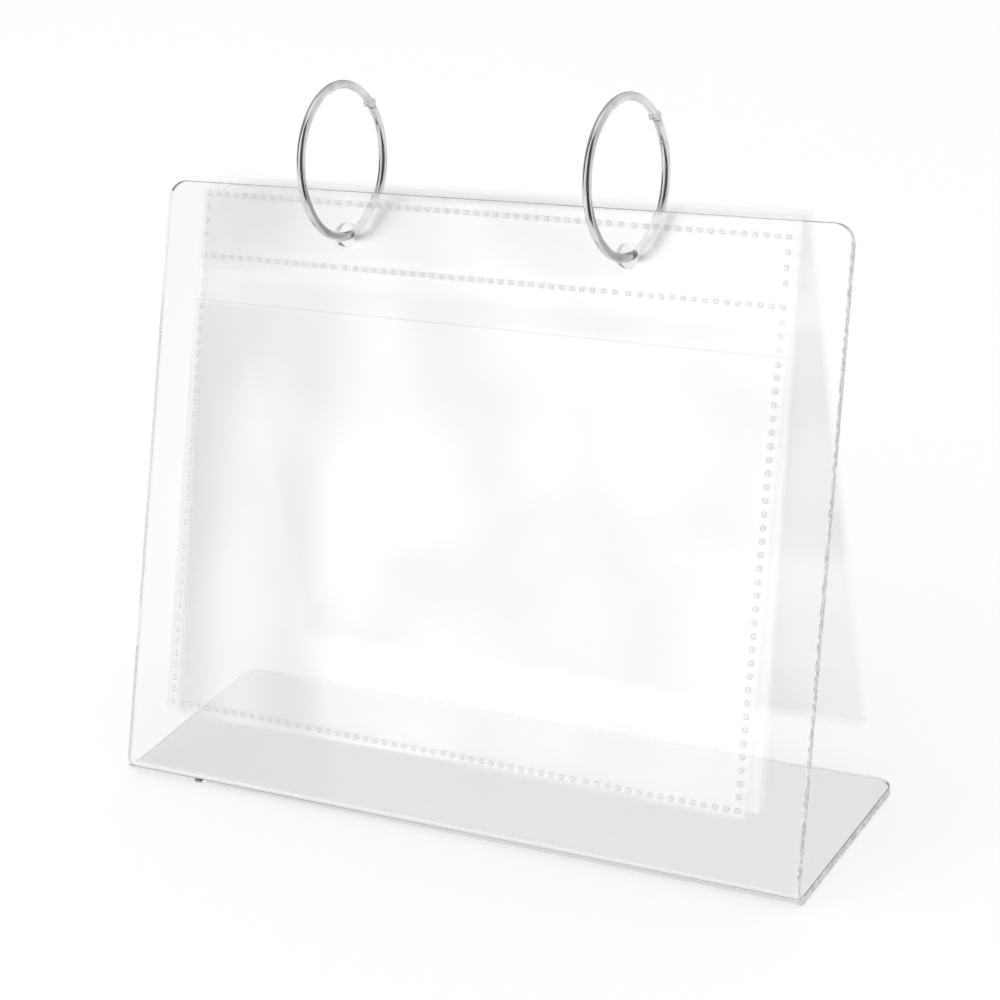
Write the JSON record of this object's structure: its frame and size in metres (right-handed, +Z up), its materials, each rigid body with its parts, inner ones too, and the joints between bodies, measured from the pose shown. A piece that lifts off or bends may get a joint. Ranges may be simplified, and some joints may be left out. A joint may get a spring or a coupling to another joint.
{
  "type": "nail sticker album",
  "caption": "Desk album of clear pocket sleeves on two hinged rings, hung through a bent clear acrylic easel stand.",
  "frame": {"origin": "middle of the flat underside of the stand", "axes": "+X to the right seen from the front, +Y to the back, +Z up"},
  "size_m": [0.194, 0.0801, 0.1716],
  "materials": {
    "clear_acrylic": "clear polished cast sheet with flame-polished edges",
    "clear_film": "thin clear, slightly milky polypropylene film with spot welds along its edges",
    "chromed_wire": "bright nickel-plated steel wire"
  },
  "bodies": {
    "stand": {"acrylic_stand": "clear_acrylic"},
    "ring_left": {"ring_left_lower_half": "chromed_wire", "ring_left_hinge_rivet": "chromed_wire"},
    "ring_left_gate": {"ring_left_upper_half": "chromed_wire"},
    "ring_right": {"ring_right_lower_half": "chromed_wire", "ring_right_hinge_rivet": "chromed_wire"},
    "ring_right_gate": {"ring_right_upper_half": "chromed_wire"},
    "front_sleeve_1": {"front_sleeve_1_back_film": "clear_film", "front_sleeve_1_binding_strip": "clear_film", "front_sleeve_1_pocket_film": "clear_film"},
    "front_sleeve_2": {"front_sleeve_2_back_film": "clear_film", "front_sleeve_2_binding_strip": "clear_film", "front_sleeve_2_pocket_film": "clear_film"},
    "front_sleeve_3": {"front_sleeve_3_back_film": "clear_film", "front_sleeve_3_binding_strip": "clear_film", "front_sleeve_3_pocket_film": "clear_film"},
    "front_sleeve_4": {"front_sleeve_4_back_film": "clear_film", "front_sleeve_4_binding_strip": "clear_film", "front_sleeve_4_pocket_film": "clear_film"},
    "front_sleeve_5": {"front_sleeve_5_back_film": "clear_film", "front_sleeve_5_binding_strip": "clear_film", "front_sleeve_5_pocket_film": "clear_film"},
    "back_sleeve_1": {"back_sleeve_1_back_film": "clear_film", "back_sleeve_1_binding_strip": "clear_film", "back_sleeve_1_pocket_film": "clear_film"},
    "back_sleeve_2": {"back_sleeve_2_back_film": "clear_film", "back_sleeve_2_binding_strip": "clear_film", "back_sleeve_2_pocket_film": "clear_film"},
    "back_sleeve_3": {"back_sleeve_3_back_film": "clear_film", "back_sleeve_3_binding_strip": "clear_film", "back_sleeve_3_pocket_film": "clear_film"},
    "back_sleeve_4": {"back_sleeve_4_back_film": "clear_film", "back_sleeve_4_binding_strip": "clear_film", "back_sleeve_4_pocket_film": "clear_film"},
    "back_sleeve_5": {"back_sleeve_5_back_film": "clear_film", "back_sleeve_5_binding_strip": "clear_film", "back_sleeve_5_pocket_film": "clear_film"}
  },
  "joints": [
    {"name": "ring_left_turn", "type": "hinge", "parent": "stand", "child": "ring_left", "pos_m": [-0.0387, 0.03109, 0.15194], "axis": [0.9991, 0.0419, 0], "range_deg": [-330, 0]},
    {"name": "ring_left_open", "type": "hinge", "parent": "ring_left", "child": "ring_left_gate", "pos_m": [-0.03938, 0.04718, 0.16124], "axis": [-0.9991, -0.0419, 0], "range_deg": [0, 75]},
    {"name": "ring_right_turn", "type": "hinge", "parent": "stand", "child": "ring_right", "pos_m": [0.0413, 0.03109, 0.15194], "axis": [1, 0, 0], "range_deg": [-330, 0]},
    {"name": "ring_right_open", "type": "hinge", "parent": "ring_right", "child": "ring_right_gate", "pos_m": [0.0413, 0.0472, 0.16124], "axis": [-1, 0, 0], "range_deg": [0, 75]},
    {"name": "front_sleeve_1_turn", "type": "hinge", "parent": "stand", "child": "front_sleeve_1", "pos_m": [0, 0.03109, 0.15194], "axis": [-1, 0, 0], "range_deg": [0, 9]},
    {"name": "front_sleeve_2_turn", "type": "hinge", "parent": "front_sleeve_1", "child": "front_sleeve_2", "pos_m": [0, 0.03109, 0.15194], "axis": [-1, 0, 0], "range_deg": [0, 9]},
    {"name": "front_sleeve_3_turn", "type": "hinge", "parent": "front_sleeve_2", "child": "front_sleeve_3", "pos_m": [0, 0.03109, 0.15194], "axis": [-1, 0, 0], "range_deg": [0, 9]},
    {"name": "front_sleeve_4_turn", "type": "hinge", "parent": "front_sleeve_3", "child": "front_sleeve_4", "pos_m": [0, 0.03109, 0.15194], "axis": [-1, 0, 0], "range_deg": [0, 9]},
    {"name": "front_sleeve_5_turn", "type": "hinge", "parent": "front_sleeve_4", "child": "front_sleeve_5", "pos_m": [0, 0.03109, 0.15194], "axis": [-1, 0, 0], "range_deg": [0, 244]},
    {"name": "back_sleeve_1_turn", "type": "hinge", "parent": "stand", "child": "back_sleeve_1", "pos_m": [0, 0.03109, 0.15194], "axis": [-1, 0, 0], "range_deg": [-9, 0]},
    {"name": "back_sleeve_2_turn", "type": "hinge", "parent": "back_sleeve_1", "child": "back_sleeve_2", "pos_m": [0, 0.03109, 0.15194], "axis": [-1, 0, 0], "range_deg": [-9, 0]},
    {"name": "back_sleeve_3_turn", "type": "hinge", "parent": "back_sleeve_2", "child": "back_sleeve_3", "pos_m": [0, 0.03109, 0.15194], "axis": [-1, 0, 0], "range_deg": [-9, 0]},
    {"name": "back_sleeve_4_turn", "type": "hinge", "parent": "back_sleeve_3", "child": "back_sleeve_4", "pos_m": [0, 0.03109, 0.15194], "axis": [-1, 0, 0], "range_deg": [-9, 0]},
    {"name": "back_sleeve_5_turn", "type": "hinge", "parent": "back_sleeve_4", "child": "back_sleeve_5", "pos_m": [0, 0.03109, 0.15194], "axis": [-1, 0, 0], "range_deg": [-244, 0]}
  ]
}
